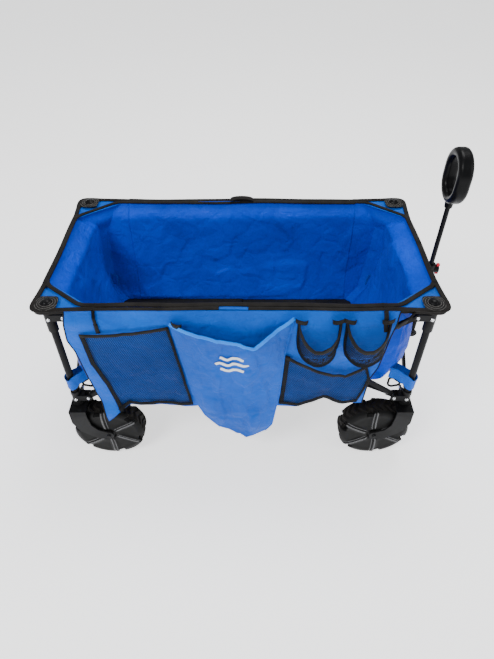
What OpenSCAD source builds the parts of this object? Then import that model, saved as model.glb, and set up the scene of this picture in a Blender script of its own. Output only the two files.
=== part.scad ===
// Folding four-wheel beach cart: crossed-bar frame, telescoping corner posts, caster wheels,
// telescoping pull handle and a sewn tub with outside pockets.
// Millimetres, +Z up. +X is the handle end, -Y is the side with the pockets, Z 0 is the ground.

/* [Frame] */
// Horizontal distance that one scissor bar spans when the cart is open
bar_run = 434; // [400:2:500]
// Height of the lower bar pivots
lower_pivot_z = 245; // [240:1:270]
// Height of the upper bar pivots
upper_pivot_z = 550; // [500:5:600]
// Distance from a post to the pivot of a side bar
side_arm = 36; // [34:1:45]
// Distance from a post to the pivot of an end bar
end_arm = 27; // [26:1:36]
// Thickness of a flat-oval bar
bar_thick = 8; // [6:0.5:9]
// Depth of a flat-oval bar
bar_depth = 13; // [11:0.5:14]
// Outer diameter of the outer post tube
outer_post_d = 19; // [18:0.5:22]
// Outer diameter of the inner post tube
inner_post_d = 16; // [13:0.5:16]
// Wall of the post tubes
post_wall = 1.2; // [1:0.1:1.5]
// Outer diameter of the sockets that hold the posts
socket_d = 26; // [24:0.5:28]
// Thickness of the bracket side plates
plate_thick = 3.5; // [2.5:0.5:4]
// Height of the bracket side plates
plate_h = 20; // [18:1:22]
// Diameter of the rivet shanks
rivet_d = 6; // [5:0.5:7]

/* [Wheels] */
// Wheel diameter
wheel_d = 206; // [170:1:212]
// Wheel width
wheel_w = 64; // [40:1:80]
// Distance that a wheel axle sits inboard of its post
wheel_trail = 74; // [66:1:90]
// Thickness of the fork arms
fork_thick = 4; // [3:0.5:6]
// Axle bolt diameter
axle_d = 8; // [6:0.5:12]

/* [Handle] */
// Height of the handle hinge
hinge_z = 270; // [255:1:285]
// Distance from the front posts to the handle hinge
hinge_reach = 67; // [60:1:80]
// Outer diameter of the lower handle tube
pole_d = 18; // [16:0.5:22]
// Outer diameter of the sliding handle tube
rod_d = 13; // [11:0.5:14]
// Height of the top of the lower handle tube
pole_top_z = 505; // [480:5:560]
// Height of the bottom of the hand grip
grip_z = 725; // [690:5:780]
// Width of the hand grip
grip_w = 115; // [105:1:130]
// Height of the hand grip
grip_h = 140; // [130:1:160]

/* [Tub] */
// Height of the tub floor above the middle of the floor bars
floor_above_bars = 7; // [7:1:19]
// Height of the tub rim above the upper bar pivots
rim_above_pivots = 30; // [26:1:90]
// Thickness of the tub fabric with its padding
tub_wall = 3; // [2:0.5:4]
// Width of the drop pocket at its mouth
pocket_top_w = 290; // [240:5:300]
// Width of the drop pocket at its bottom
pocket_bottom_w = 150; // [110:5:200]
// Height of the bottom of the drop pocket
pocket_bottom_z = 130; // [110:5:200]
// How far the drop pocket stands out from the side panel
pocket_depth = 42; // [25:1:50]
// Diameter of a cup holder
cup_d = 100; // [80:1:104]
// How far a cup holder stands out from the side panel
cup_depth = 52; // [44:1:56]

/* [Hidden] */
$fn = 48;
EPS = 0.01;
// Clearances
slide_gap = 0.1;
soft_gap = 0.3;
pin_gap = 0.08;
// Posts stand at these half spacings, so that side and end bars share one run and one slope
post_x = bar_run + side_arm;
post_y = bar_run / 2 + end_arm;
bar_rise = upper_pivot_z - lower_pivot_z;
bar_len = sqrt(bar_run * bar_run + bar_rise * bar_rise);
bar_gap = 0.5;
clevis_half = bar_thick + bar_gap + 0.5;
plate_out = clevis_half + plate_thick;
head_h = 2.5;
head_d = rivet_d + 4;
outer_post_id = inner_post_d + 2 * slide_gap;
// Diagonal that the floor bars follow, from a corner to the middle of the cart
diagonal = sqrt(post_x * post_x + post_y * post_y);
diagonal_angle = atan2(post_y, post_x);
floor_pivot = 52;
floor_tip = 45;
floor_bar_w = 8;
floor_bar_h = 10;
floor_bar_z = lower_pivot_z - 14;
floor_plate = 3;
floor_half = floor_bar_w / 2 + 0.5;
// Lower corner, from bottom to top
lower_bottom = lower_pivot_z - 20;
lower_top = lower_pivot_z + 23;
inner_foot = lower_bottom + 6;
inner_top = upper_pivot_z - 12;
// Upper corner
upper_bottom = upper_pivot_z - 48;
upper_top = upper_pivot_z + 26;
outer_bottom = lower_top + 4;
outer_top = upper_top - 4;
dome_d = 24;
// Heights of the two cross rivets that fix a post in its socket
fix_side_dz = -5;
fix_end_dz = 9;
// Wheels and forks
axle_z = wheel_d / 2;
fork_in = wheel_w / 2 + 2.5;
fork_out = fork_in + fork_thick;
fork_top = lower_bottom - 0.4;
crown_z = wheel_d + 3;
crown_h = 6;
boss_d = 32;
king_d = 10;
arm_r = 15;
axle_head_h = 5;
// Handle
hinge_x = post_x + hinge_reach;
mid_z = (lower_pivot_z + upper_pivot_z) / 2;
hanger_x = post_x + clevis_half + 3;
hanger_t = 4;
hanger_w = 32;
ear_in = pole_d / 2 + 1.6;
ear_t = 3.5;
ear_r = 13;
pin_d = 8;
pole_wall = 1.5;
rod_down = 90;
rod_bottom = hinge_z + 15 + rod_down;
collar_h = 34;
collar_d = pole_d + 8;
grip_bar = 24;
grip_deep = 37;
grip_neck = 30;
button_w = 9;
button_t = 2.4;
button_pad = 6;
button_travel = 3;
button_x = collar_d / 2 + button_travel + 0.3;
// Tub
floor_z = floor_bar_z + floor_above_bars;
rim_z = upper_pivot_z + rim_above_pivots;
floor_t = 1.3;
side_in = post_y - plate_out - head_h - 0.6;
end_in = post_x - plate_out - head_h - 0.6;
panel_in = post_y + plate_out + head_h + 1.3;
panel_t = 3;
panel_out = panel_in + panel_t;
pocket_in = panel_out + soft_gap;
skin = 2;
mesh_skin = 1.5;
mesh_depth = 7;
// The cart moves by half of its overhangs, so that the origin sits under the middle of its box
front_end = hinge_x + max(grip_deep / 2, ear_r, button_x + button_t + button_pad);
back_end = max(post_x + socket_d / 2 + head_h, post_x - wheel_trail + wheel_d / 2);
left_end = post_y + fork_out + axle_head_h;
right_end = max(left_end, pocket_in + max(cup_depth, pocket_depth));
shift_x = -(front_end - back_end) / 2;
shift_y = (right_end - left_end) / 2;

CORNERS = [["rr", -1, -1], ["fr", 1, -1], ["rl", -1, 1], ["fl", 1, 1]];

// ---- shared shapes ----

// Puts a corner drawn in the front left quadrant at the corner with these signs
module corner(sx, sy) {
  mirror([sx < 0 ? 1 : 0, 0, 0])
    mirror([0, sy < 0 ? 1 : 0, 0])
      translate([post_x, post_y, 0])
        children();
}

module along_y(d, y0, y1) {
  translate([0, y1, 0])
    rotate([90, 0, 0])
      cylinder(d = d, h = y1 - y0);
}

module along_x(d, x0, x1) {
  translate([x0, 0, 0])
    rotate([0, 90, 0])
      cylinder(d = d, h = x1 - x0);
}

module rivet_head(d, h) {
  cylinder(d1 = d, d2 = d * 0.6, h = h);
}

// Rivet along Y whose shank runs from -half to half, with a head at each end
module rivet_y(half, d = rivet_d, head = head_d, h = head_h) {
  along_y(d, -half - EPS, half + EPS);
  for (s = [-1, 1])
    translate([0, s * half, 0])
      rotate([-s * 90, 0, 0])
        rivet_head(head, h);
}

// Rivet with one head, whose shank ends inside the bracket
module fixing_y(blind, half) {
  along_y(rivet_d, -blind, half + EPS);
  translate([0, half, 0])
    rotate([-90, 0, 0])
      rivet_head(head_d, head_h);
}

module rivet_x(half, d = rivet_d, head = head_d, h = head_h) {
  rotate([0, 0, 90])
    rivet_y(half, d, head, h);
}

// A pair of bracket plates along -X with a rounded end, open between the inner faces
module plates(reach, half, thick, h) {
  for (s = [-1, 1]) {
    translate([-reach, s > 0 ? half : -half - thick, -h / 2])
      cube([reach, thick, h]);
    translate([-reach, 0, 0])
      along_y(h, s > 0 ? half : -half - thick, s > 0 ? half + thick : -half);
  }
}

// Block that joins a pair of plates next to the socket
module web(reach, half, h) {
  translate([-reach, -half, -h / 2])
    cube([reach, 2 * half, h]);
}

module tube(d_out, d_in, z0, z1) {
  translate([0, 0, z0])
    difference() {
      cylinder(d = d_out, h = z1 - z0);
      translate([0, 0, -1])
        cylinder(d = d_in, h = z1 - z0 + 2);
    }
}

// Plates, webs and pivot holes that the lower and upper brackets share, with the pivots at z
module bracket_arms(z) {
  translate([0, 0, z]) {
    plates(side_arm, clevis_half, plate_thick, plate_h);
    web(side_arm - bar_depth / 2 - 4, clevis_half, plate_h);
    rotate([0, 0, 90]) {
      plates(end_arm, clevis_half, plate_thick, plate_h);
      web(end_arm - bar_depth / 2 - 4, clevis_half, plate_h);
    }
  }
}

module bracket_holes(z) {
  hole = rivet_d + 2 * pin_gap;
  far = plate_out + 1;
  translate([-side_arm, 0, z])
    along_y(hole, -far, far);
  translate([0, -end_arm, z])
    along_x(hole, -far, far);
  translate([0, 0, z + fix_side_dz])
    along_y(hole, -outer_post_d / 2 - 1, far + 5);
  translate([0, 0, z + fix_end_dz])
    along_x(hole, -outer_post_d / 2 - 1, far + 5);
}

module bracket_rivets(z) {
  translate([-side_arm, 0, z])
    rivet_y(plate_out);
  translate([0, -end_arm, z])
    rivet_x(plate_out);
  translate([0, 0, z + fix_side_dz])
    fixing_y(outer_post_d / 2 + 0.5, socket_d / 2);
  translate([0, 0, z + fix_end_dz])
    rotate([0, 0, -90])
      fixing_y(outer_post_d / 2 + 0.5, socket_d / 2);
}

// ---- corners ----

module floor_lug() {
  rotate([0, 0, diagonal_angle])
    translate([0, 0, floor_bar_z]) {
      plates(floor_pivot, floor_half, floor_plate, floor_bar_h + 1);
      web(floor_pivot - floor_bar_h / 2 - 4, floor_half, floor_bar_h + 1);
    }
}

module lower_bracket(sx, sy) {
  color("#1c1c1e") corner(sx, sy) difference() {
    union() {
      translate([0, 0, lower_bottom])
        cylinder(d = socket_d, h = lower_top - lower_bottom);
      bracket_arms(lower_pivot_z);
      floor_lug();
    }
    translate([0, 0, inner_foot])
      cylinder(d = inner_post_d + 0.2, h = lower_top);
    translate([0, 0, lower_bottom - 1])
      cylinder(d = king_d + 2 * pin_gap, h = lower_top);
    bracket_holes(lower_pivot_z);
    rotate([0, 0, diagonal_angle])
      translate([-floor_pivot, 0, floor_bar_z])
        along_y(5 + 2 * pin_gap, -12, 12);
  }
}

module inner_post(sx, sy) {
  color("#202022") corner(sx, sy) difference() {
    tube(inner_post_d, inner_post_d - 2 * post_wall, inner_foot, inner_top);
    translate([0, 0, lower_pivot_z + fix_side_dz])
      along_y(rivet_d + 2 * pin_gap, -20, 20);
    translate([0, 0, lower_pivot_z + fix_end_dz])
      along_x(rivet_d + 2 * pin_gap, -20, 20);
  }
}

module lower_rivets(sx, sy) {
  color("#c9ccd0") corner(sx, sy) {
    bracket_rivets(lower_pivot_z);
    rotate([0, 0, diagonal_angle])
      translate([-floor_pivot, 0, floor_bar_z])
        rivet_y(floor_half + floor_plate, 5, 8, 1.6);
  }
}

module upper_bracket(sx, sy) {
  color("#1c1c1e") corner(sx, sy) difference() {
    union() {
      translate([0, 0, upper_bottom])
        cylinder(d = socket_d, h = upper_top - upper_bottom);
      bracket_arms(upper_pivot_z);
      intersection() {
        translate([0, 0, upper_top - dome_d * 0.13])
          sphere(d = dome_d);
        translate([-dome_d, -dome_d, upper_top - 1])
          cube([2 * dome_d, 2 * dome_d, dome_d]);
      }
    }
    translate([0, 0, upper_bottom - 1])
      cylinder(d = outer_post_d + 0.2, h = outer_top - upper_bottom + 1);
    bracket_holes(upper_pivot_z);
  }
}

module outer_post(sx, sy) {
  color("#202022") corner(sx, sy) difference() {
    tube(outer_post_d, outer_post_id, outer_bottom, outer_top);
    translate([0, 0, upper_pivot_z + fix_side_dz])
      along_y(rivet_d + 2 * pin_gap, -20, 20);
    translate([0, 0, upper_pivot_z + fix_end_dz])
      along_x(rivet_d + 2 * pin_gap, -20, 20);
  }
}

module upper_rivets(sx, sy) {
  color("#c9ccd0") corner(sx, sy)
    bracket_rivets(upper_pivot_z);
}

// ---- scissor bars ----

// Flat-oval bar along +X from its first pivot, between the planes y0 and y0 + bar_thick
module bar(y0) {
  hole = rivet_d + 2 * pin_gap;
  difference() {
    union() {
      translate([0, y0, -bar_depth / 2])
        cube([bar_len, bar_thick, bar_depth]);
      for (x = [0, bar_len])
        translate([x, 0, 0])
          along_y(bar_depth, y0, y0 + bar_thick);
    }
    for (x = [0, bar_len / 2, bar_len])
      translate([x, 0, 0])
        along_y(hole, y0 - 1, y0 + bar_thick + 1);
  }
}

// Rivet through two bars that cross at the distance x along the bar
module bar_rivet(x) {
  translate([x, 0, 0])
    rivet_y(clevis_half - bar_gap);
}

// Side bar from the pivot at x0 to the one a bar run forward, rising or falling.
// Outer bars lie on the side away from the tub.
module side_bar(sy, x0, rises, outer, rivets) {
  y0 = (outer == (sy > 0)) ? bar_gap : -bar_gap - bar_thick;
  slope = atan2(bar_rise, bar_run);
  color("#242426")
    translate([x0, sy * post_y, rises ? lower_pivot_z : upper_pivot_z])
      rotate([0, rises ? -slope : slope, 0])
        bar(y0);
  color("#c9ccd0")
    translate([x0, sy * post_y, rises ? lower_pivot_z : upper_pivot_z])
      rotate([0, rises ? -slope : slope, 0])
        for (x = rivets)
          bar_rivet(x);
}

// End bar from one post to the other, in the outer or the inner plane of its end
module end_bar(sx, rises, outer, rivets) {
  y0 = (outer == (sx < 0)) ? bar_gap : -bar_gap - bar_thick;
  slope = atan2(bar_rise, bar_run);
  color("#242426")
    translate([sx * post_x, -bar_run / 2, rises ? lower_pivot_z : upper_pivot_z])
      rotate([0, 0, 90])
        rotate([0, rises ? -slope : slope, 0])
          bar(y0);
  color("#c9ccd0")
    translate([sx * post_x, -bar_run / 2, rises ? lower_pivot_z : upper_pivot_z])
      rotate([0, 0, 90])
        rotate([0, rises ? -slope : slope, 0])
          for (x = rivets)
            bar_rivet(x);
}

// Middle rivet of the front end, long enough to carry the handle hanger on a spacer
module hanger_rivet() {
  stack = clevis_half - bar_gap;
  front = hanger_x + hanger_t - post_x + slide_gap;
  color("#c9ccd0")
    translate([post_x, 0, mid_z]) {
      along_x(rivet_d, -stack - EPS, front + EPS);
      along_x(head_d, stack, hanger_x - post_x - soft_gap);
      translate([-stack, 0, 0])
        rotate([0, -90, 0])
          rivet_head(head_d, head_h);
      translate([front, 0, 0])
        rotate([0, 90, 0])
          rivet_head(head_d, head_h);
    }
}

module floor_bar(sx, sy) {
  reach = diagonal - floor_pivot - floor_tip;
  color("#242426") corner(sx, sy)
    rotate([0, 0, diagonal_angle])
      translate([-floor_pivot, 0, floor_bar_z])
        difference() {
          union() {
            translate([-reach, -floor_bar_w / 2, -floor_bar_h / 2])
              cube([reach, floor_bar_w, floor_bar_h]);
            along_y(floor_bar_h, -floor_bar_w / 2, floor_bar_w / 2);
          }
          along_y(5 + 2 * pin_gap, -10, 10);
        }
}

// ---- wheels ----

// Fork arm outline in the X-Z plane, from the crown back to the axle
module fork_arm_outline() {
  polygon([
    [22, crown_z + crown_h], [22, 165], [6, 126], [-40, axle_z - 13],
    [-wheel_trail, axle_z - arm_r], [-wheel_trail, axle_z + arm_r],
    [-47, 130], [-31, 152], [-26, 190], [-26, crown_z + crown_h]
  ]);
  translate([-wheel_trail, axle_z])
    circle(r = arm_r);
}

module fork(sx, sy) {
  color("#1c1c1e") corner(sx, sy) difference() {
    union() {
      for (y0 = [-fork_out, fork_in])
        translate([0, y0 + fork_thick, 0])
          rotate([90, 0, 0])
            linear_extrude(height = fork_thick)
              fork_arm_outline();
      translate([-26, -fork_out, crown_z])
        cube([48, 2 * fork_out, crown_h]);
      translate([0, 0, crown_z])
        cylinder(d = boss_d, h = fork_top - crown_z);
    }
    translate([0, 0, crown_z - 1])
      cylinder(d = king_d + 2 * pin_gap, h = 40);
    translate([-wheel_trail, 0, axle_z])
      along_y(axle_d + 2 * pin_gap, -fork_out - 1, fork_out + 1);
  }
  color("#c9ccd0") corner(sx, sy) {
    translate([-wheel_trail, 0, axle_z])
      rivet_y(fork_out, axle_d, axle_d + 6, axle_head_h);
    translate([0, 0, crown_z - 6])
      cylinder(d = king_d + 6, h = 6);
    translate([0, 0, crown_z - 1])
      cylinder(d = king_d, h = inner_foot - crown_z - 1);
  }
}

// Wheel with rounded shoulders, a dished face each side and a hub that runs on the axle bolt
module wheel(sx, sy) {
  r = wheel_d / 2;
  w = wheel_w / 2;
  bore = axle_d / 2 + pin_gap;
  color("#161617") corner(sx, sy)
    translate([-wheel_trail, 0, axle_z])
      rotate([90, 0, 0])
        rotate_extrude($fn = 72)
          polygon([
            [bore, -w - 2], [22, -w - 2], [26, -w + 5], [r - 26, -w + 3],
            [r - 20, -w], [r - 7, -w], [r, -w + 9], [r, w - 9], [r - 7, w],
            [r - 20, w], [r - 26, w - 3], [26, w - 5], [22, w + 2], [bore, w + 2]
          ]);
}

// ---- handle ----

// Channel that hangs on the middle rivet of the front end bars and carries the handle hinge
module handle_hanger() {
  ear_x = hanger_x + hanger_t;
  color("#1c1c1e") difference() {
    union() {
      translate([hanger_x, -hanger_w / 2, hinge_z - ear_r])
        cube([hanger_t, hanger_w, mid_z + 14 - hinge_z + ear_r]);
      for (y0 = [-ear_in - ear_t, ear_in]) {
        translate([ear_x - EPS, y0, hinge_z - ear_r])
          cube([hinge_x - ear_x, ear_t, 2 * ear_r]);
        translate([hinge_x, 0, hinge_z])
          along_y(2 * ear_r, y0, y0 + ear_t);
      }
    }
    translate([0, 0, mid_z])
      along_x(rivet_d + 2 * pin_gap, hanger_x - 1, ear_x + 1);
    translate([hinge_x, 0, hinge_z])
      along_y(pin_d + 2 * pin_gap, -40, 40);
  }
  color("#c9ccd0")
    translate([hinge_x, 0, hinge_z])
      rivet_y(ear_in + ear_t, pin_d, pin_d + 5, 3);
}

module handle_pole() {
  color("#19191b")
    translate([hinge_x, 0, 0])
      difference() {
        union() {
          translate([0, 0, hinge_z])
            along_y(2 * ear_r - 4, -ear_in + 0.6, ear_in - 0.6);
          translate([0, 0, hinge_z])
            cylinder(d = pole_d, h = pole_top_z - hinge_z);
          translate([0, 0, pole_top_z - 10])
            cylinder(d = collar_d, h = collar_h);
          translate([0, 0, pole_top_z + 7])
            along_x(22, 0, collar_d / 2 + 10);
        }
        translate([0, 0, hinge_z + 12])
          cylinder(d = rod_d + 2 * slide_gap, h = 400);
        translate([0, 0, hinge_z])
          along_y(pin_d + 2 * pin_gap, -20, 20);
        translate([collar_d / 2 + 0.1, -button_w / 2 - 0.3, pole_top_z - 60])
          cube([button_x - collar_d / 2 + button_t + 0.2, button_w + 0.6, 200]);
      }
}

module handle_rod() {
  color("#151517")
    translate([hinge_x, 0, 0])
      tube(rod_d, rod_d - 2 * pole_wall, rod_bottom, grip_z - 8);
}

module grip_section() {
  for (s = [-1, 1])
    translate([0, s * (grip_deep - grip_bar) / 2])
      circle(d = grip_bar);
  square([grip_bar, grip_deep - grip_bar], center = true);
}

// Oval ring grip, wide across the cart, on a neck that takes the top of the rod
module hand_grip() {
  mean_r = (grip_w - grip_bar) / 2;
  straight = (grip_h - grip_w) / 2;
  color("#0e0e10")
    translate([hinge_x, 0, grip_z + grip_h / 2])
      difference() {
        union() {
          for (s = [-1, 1])
            translate([0, 0, s * straight])
              rotate([0, 90, 0])
                rotate([0, 0, s > 0 ? 90 : -90])
                  rotate_extrude(angle = 180)
                    translate([mean_r, 0])
                      grip_section();
          for (s = [-1, 1])
            translate([0, s * mean_r, -straight - EPS])
              linear_extrude(height = 2 * straight + 2 * EPS)
                rotate([0, 0, 90])
                  grip_section();
          translate([0, 0, -grip_h / 2 - grip_neck + 14])
            cylinder(d1 = rod_d + 7, d2 = 26, h = grip_neck);
        }
        translate([0, 0, -grip_h / 2 - grip_neck])
          cylinder(d = rod_d + 0.2, h = grip_neck - 8);
      }
}

// Button that releases the sliding rod: one strip behind the boss, with a pad above and below
module lock_button() {
  color("#e8203a")
    translate([hinge_x + button_x, -button_w / 2, 0]) {
      translate([0, 0, pole_top_z - 9])
        cube([button_t, button_w, 32]);
      for (z = [pole_top_z - 9, pole_top_z + 18.5])
        translate([button_t - EPS, 0, z])
          cube([button_pad, button_w, 4.5]);
    }
}

// ---- tub and pockets ----

module tub_walls() {
  foot = floor_z + 0.3 - floor_t;
  h = rim_z - foot;
  color("#0a5ae0")
    translate([0, 0, foot]) {
      for (s = [-1, 1]) {
        translate([-end_in + tub_wall + soft_gap, s > 0 ? side_in - tub_wall : -side_in, 0])
          cube([2 * (end_in - tub_wall - soft_gap), tub_wall, h]);
        translate([s > 0 ? end_in - tub_wall : -end_in, -side_in + 1, 0])
          cube([tub_wall, 2 * side_in - 2, h]);
      }
    }
}

module tub_floor() {
  x = end_in - tub_wall - soft_gap;
  y = side_in - tub_wall - soft_gap;
  color("#141416")
    translate([-x, -y, floor_z + 0.3 - floor_t])
      cube([2 * x, 2 * y, floor_t]);
}

// Height on the side panel, given as it is on a panel 342 tall whose foot is at 238
function level(z) = floor_z + (z - 238) / 342 * (rim_z - floor_z);

// Sheet or block with an outline in the X-Z plane, between two distances from the middle
module hung(near, far) {
  translate([0, -near, 0])
    rotate([90, 0, 0])
      linear_extrude(height = far - near)
        children();
}

module side_panel() {
  left = -post_x + 40;
  right = post_x - 86;
  color("#0b86ff") {
    hung(panel_in, panel_out)
      polygon([
        [left, rim_z - 3], [left, level(490)], [left + 18, level(385)], [left + 54, floor_z - 24],
        [left + 90, floor_z - 15], [left + 126, floor_z + 7], [right - 46, floor_z + 7],
        [right - 40, level(350)], [right - 18, level(400)], [right, rim_z - 3]
      ]);
    translate([left, -panel_out, rim_z - 3 - EPS])
      cube([right - left, panel_out - side_in - soft_gap, 3]);
  }
}

module pocket_outline(inset) {
  t = pocket_top_w / 2 - inset;
  b = pocket_bottom_w / 2 - inset;
  z0 = pocket_bottom_z + inset;
  polygon([
    [-t - 15, level(548)], [-t + 20, level(300)], [-b - 20, z0 + 60], [-b + 20, z0 + 4], [-10, z0],
    [b - 20, z0 + 4], [b + 4, z0 + 50], [t - 40, level(300)], [t - 24, level(548)]
  ]);
}

module drop_pocket() {
  color("#0b86ff")
    difference() {
      hung(pocket_in, pocket_in + pocket_depth)
        pocket_outline(0);
      hung(pocket_in + skin, pocket_in + pocket_depth - skin)
        union() {
          pocket_outline(skin);
          translate([-pocket_top_w / 2 - 15 + skin, level(548) - 1])
            square([pocket_top_w - 9 - 2 * skin, 5]);
        }
      // the mouth sags at the front
      hung(pocket_in + skin, pocket_in + pocket_depth + 1)
        polygon([
          [-200, level(560)], [-142, level(540)], [-60, level(515)], [40, level(500)],
          [112, level(540)], [200, level(560)]
        ]);
    }
}

CUP_X = [188, 307];
CUP_BOTTOM = level(415);
CUP_TOP = level(512);

module cup_outline(inset) {
  intersection() {
    translate([0, -cup_depth / 2])
      square([cup_d - 2 * inset, cup_depth - 2 * inset], center = true);
    translate([0, cup_d / 2 - cup_depth + 2])
      circle(d = cup_d + 4 - 2 * inset);
  }
}

module cup_holders() {
  color("#101012")
    for (x = CUP_X)
      translate([x, -pocket_in, 0])
        difference() {
          translate([0, 0, CUP_BOTTOM])
            linear_extrude(height = CUP_TOP - CUP_BOTTOM)
              cup_outline(0);
          translate([0, 0, CUP_BOTTOM + skin])
            linear_extrude(height = CUP_TOP)
              cup_outline(skin);
        }
}

// Flat pocket open at the back and the top: side strips, bottom strip and a front sheet
module flat_pocket(points, mouth) {
  difference() {
    hung(pocket_in, pocket_in + mesh_depth)
      polygon(points);
    hung(pocket_in - 1, pocket_in + mesh_depth - mesh_skin)
      polygon(mouth);
  }
}

module mesh_pockets() {
  color("#14181f") {
    flat_pocket(
      [
        [-398, level(517)], [-372, level(350)], [-340, level(236)], [-210, level(252)],
        [-130, level(260)], [-158, level(400)], [-172, level(530)]
      ],
      [
        [-394, level(540)], [-368, level(352)], [-336, level(241)], [-212, level(256)],
        [-134, level(264)], [-161.5, level(400)], [-176, level(540)]
      ]
    );
    flat_pocket(
      [
        [120, level(425)], [112, level(250)], [340, level(250)], [346, level(350)],
        [330, level(394)], [270, level(370)], [190, level(400)], [136, level(409)]
      ],
      [
        [124, level(460)], [115.5, level(254)], [336.5, level(254)], [342, level(350)],
        [327, level(460)]
      ]
    );
  }
}

// ---- the cart ----

module placed() {
  translate([shift_x, shift_y, 0])
    children();
}

placed() {
  for (c = CORNERS) {
    lower_bracket(c[1], c[2]);
    inner_post(c[1], c[2]);
    lower_rivets(c[1], c[2]);
    upper_bracket(c[1], c[2]);
    outer_post(c[1], c[2]);
    upper_rivets(c[1], c[2]);
    floor_bar(c[1], c[2]);
    fork(c[1], c[2]);
    wheel(c[1], c[2]);
  }
  for (s = [["r", -1], ["l", 1]]) {
    side_bar(s[1], -bar_run, true, true, [bar_len / 2, bar_len]);
    side_bar(s[1], -bar_run, false, false, [bar_len]);
    side_bar(s[1], 0, false, false, [bar_len / 2]);
    side_bar(s[1], 0, true, true, []);
  }
  end_bar(-1, true, true, [bar_len / 2]);  // end_bar_r_1
  end_bar(-1, false, false, []);  // end_bar_r_2
  union() {  // end_bar_f_1
    end_bar(1, true, true, []);
    hanger_rivet();
  }
  end_bar(1, false, false, []);  // end_bar_f_2
  handle_hanger();
  handle_pole();
  handle_rod();
  hand_grip();
  lock_button();
  tub_walls();
  tub_floor();
  side_panel();
  drop_pocket();
  cup_holders();
  mesh_pockets();
}
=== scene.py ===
"""Beach cart: the sewn tub, pockets, wheels, fittings and finishes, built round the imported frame.

All positions are in metres. MID is the middle of the four posts on the ground, and most sizes below are
measured from it: X towards the pull handle, Y away from the pockets, Z up.
"""
import math

import bpy
import numpy as np
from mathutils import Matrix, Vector

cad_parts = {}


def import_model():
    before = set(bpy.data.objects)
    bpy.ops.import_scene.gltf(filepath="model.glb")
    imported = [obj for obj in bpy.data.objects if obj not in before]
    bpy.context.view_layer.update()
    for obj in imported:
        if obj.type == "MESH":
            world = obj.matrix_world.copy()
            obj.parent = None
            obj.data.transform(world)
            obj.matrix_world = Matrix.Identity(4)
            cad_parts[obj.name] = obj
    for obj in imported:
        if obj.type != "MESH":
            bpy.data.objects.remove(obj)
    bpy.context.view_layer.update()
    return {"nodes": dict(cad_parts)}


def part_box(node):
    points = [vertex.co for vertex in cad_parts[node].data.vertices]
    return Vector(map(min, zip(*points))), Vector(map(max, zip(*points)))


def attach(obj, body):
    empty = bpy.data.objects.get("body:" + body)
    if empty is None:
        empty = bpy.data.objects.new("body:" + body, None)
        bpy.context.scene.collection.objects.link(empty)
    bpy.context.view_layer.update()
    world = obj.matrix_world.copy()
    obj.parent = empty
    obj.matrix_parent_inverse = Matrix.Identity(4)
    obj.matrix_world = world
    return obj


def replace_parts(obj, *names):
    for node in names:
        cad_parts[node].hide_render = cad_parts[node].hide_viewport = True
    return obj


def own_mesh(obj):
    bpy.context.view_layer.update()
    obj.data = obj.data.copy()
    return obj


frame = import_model()

# ---------------------------------------------------------------- places taken from the frame

CORNERS = {"rr": (-1, -1), "fr": (1, -1), "rl": (-1, 1), "fl": (1, 1)}


def middle_of(node):
    low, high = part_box(node)
    return (low + high) / 2


POSTS = {c: middle_of("outer_post_" + c) for c in CORNERS}
MID = (POSTS["rr"] + POSTS["fl"]) / 2
MID.z = 0
POST_X = POSTS["fl"].x - MID.x
POST_Y = POSTS["fl"].y - MID.y
FLOOR_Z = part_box("tub_floor")[1].z
RIM_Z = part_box("tub_walls")[1].z
# Directions over the width of a strap: upright, along the cart and across it
UP = [(0, 0, 1)]
ALONG = [(1, 0, 0)]
ACROSS = [(0, 1, 0)]


def at(x, y, z):
    return Vector((MID.x + x, MID.y + y, z))


# ---------------------------------------------------------------- camera and light

def make_camera():
    cam = bpy.data.objects.new("camera", bpy.data.cameras.new("camera"))
    bpy.context.scene.collection.objects.link(cam)
    cam.location = at(0.0163, -1.202, 1.3997)
    cam.rotation_euler = (math.radians(46.87), 0, 0)
    cam.data.lens = 28.46
    cam.data.sensor_width = 36
    cam.data.clip_start = 0.05
    cam.data.clip_end = 60
    bpy.context.scene.camera = cam


def area_light(name, place, target, size, watts):
    data = bpy.data.lights.new(name, "AREA")
    data.shape = "DISK"
    data.size = size
    data.energy = watts
    lamp = bpy.data.objects.new(name, data)
    bpy.context.scene.collection.objects.link(lamp)
    lamp.location = place
    lamp.rotation_euler = (Vector(target) - Vector(place)).to_track_quat("-Z", "Y").to_euler()


def make_studio():
    world = bpy.data.worlds.new("studio")
    bpy.context.scene.world = world
    world.use_nodes = True
    background = world.node_tree.nodes["Background"]
    background.inputs["Color"].default_value = (0.95, 0.97, 1.0, 1)
    background.inputs["Strength"].default_value = 0.44
    area_light("key", (-1.9, -2.2, 3.3), (0, 0, 0.35), 1.6, 95)
    area_light("fill", (2.6, -1.4, 2.0), (0, 0, 0.4), 2.0, 24)
    area_light("top", (0.5, 1.1, 3.6), (0, 0, 0.3), 2.0, 80)
    mesh = bpy.data.meshes.new("floor")
    mesh.from_pydata([(-9, -9, 0), (9, -9, 0), (9, 9, 0), (-9, 9, 0)], [], [(0, 1, 2, 3)])
    floor = bpy.data.objects.new("studio_floor", mesh)
    bpy.context.scene.collection.objects.link(floor)
    mesh.materials.append(paper())


# ---------------------------------------------------------------- materials

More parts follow.
